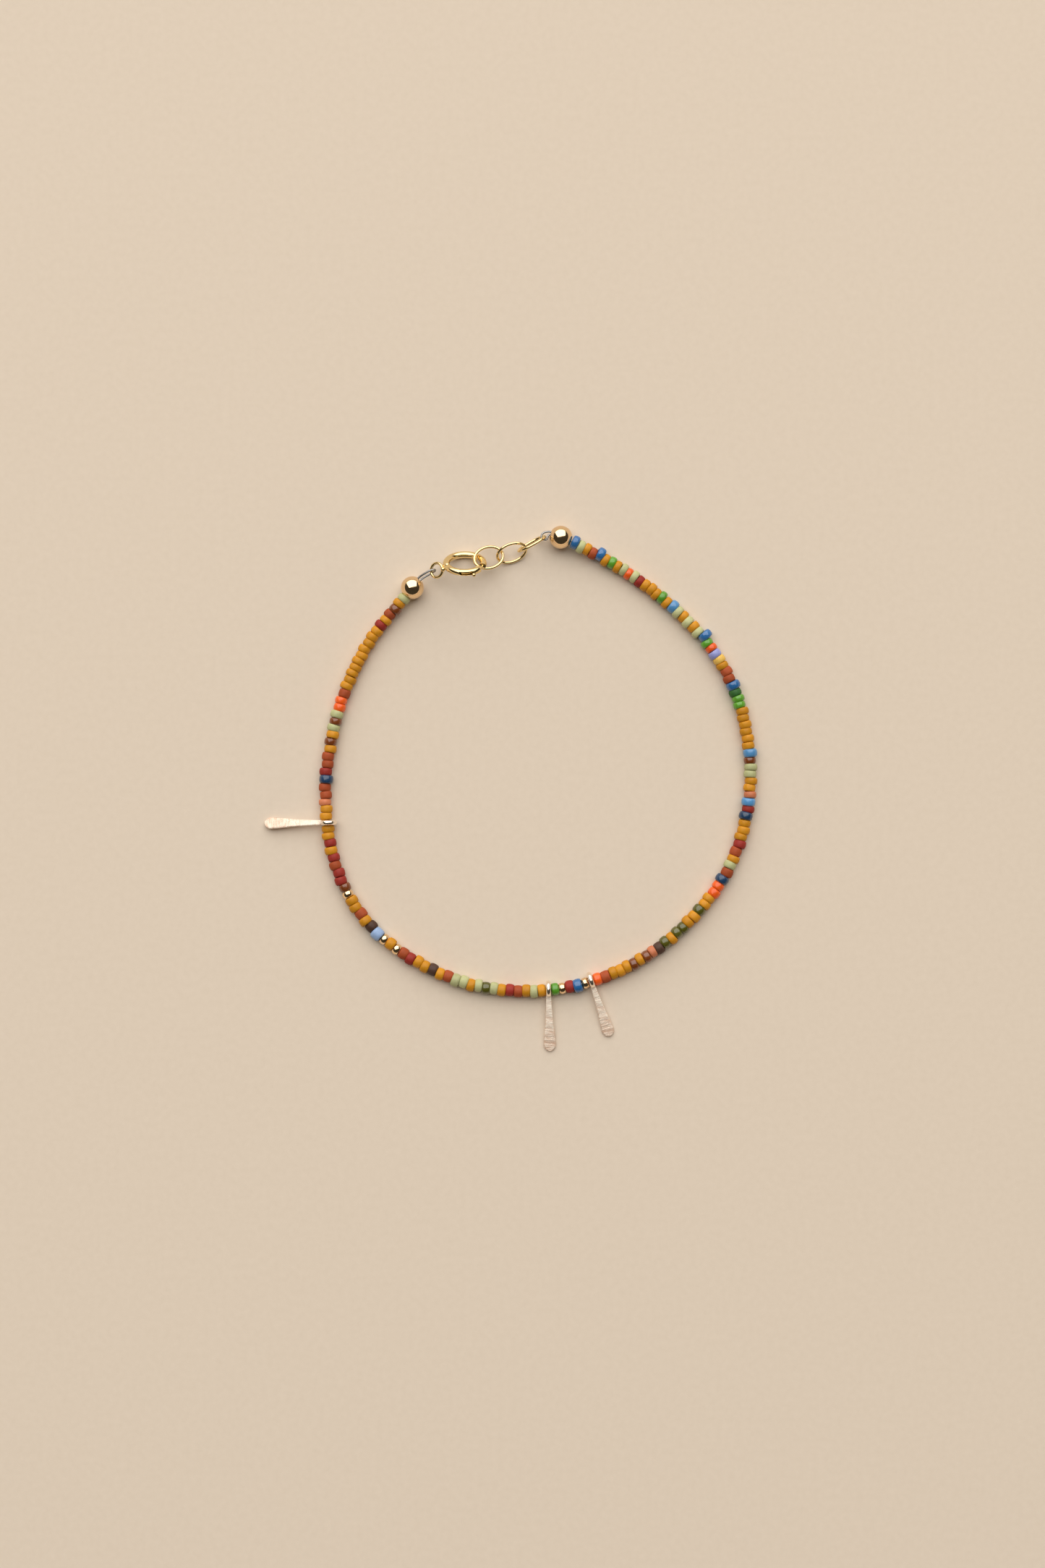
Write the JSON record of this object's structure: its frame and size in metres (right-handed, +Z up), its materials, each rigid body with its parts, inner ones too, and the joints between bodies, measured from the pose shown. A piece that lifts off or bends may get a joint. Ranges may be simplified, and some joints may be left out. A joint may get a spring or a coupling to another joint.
{
  "type": "beaded anklet",
  "caption": "Anklet of mixed seed beads on wire, with gold spacer beads, hammered gold drops, end beads and a spring-ring clasp on a short chain, lying closed.",
  "frame": {"origin": "middle of the lying anklet's outline, on the surface that it lies on", "axes": "+Z up from the surface, +Y towards the clasp, +X towards the right end of the clasp's chain"},
  "size_m": [0.085, 0.0908, 0.007],
  "materials": {
    "seed_beads": "frosted opaque glass in many colours, mustard the most common",
    "gold": "polished gold",
    "rose_gold": "hammered satin rose gold",
    "beading_wire": "coated beading wire"
  },
  "bodies": {
    "anklet": {"bead_string": "seed_beads", "end_bead_left": "gold", "end_bead_right": "gold", "spacer_bead_1": "gold", "spacer_bead_2": "gold", "spacer_bead_3": "gold", "spacer_bead_4": "gold", "spacer_bead_5": "gold", "drop_a": "rose_gold", "drop_b": "rose_gold", "drop_c": "rose_gold", "chain_link_1": "gold", "chain_link_2": "gold", "chain_link_3": "gold", "wire_loop_left": "beading_wire", "wire_loop_right": "beading_wire", "clasp_ring": "gold"},
    "bolt": {"clasp_bolt": "gold"}
  },
  "joints": [
    {"name": "clasp_trigger", "type": "hinge", "parent": "anklet", "child": "bolt", "pos_m": [-0.00783, 0.0387, 0.00325], "axis": [0, -0.829, -0.5592], "range_deg": [0, 30], "stiffness_Nm_per_rad": 0.0008, "springref_deg": -20.05}
  ]
}
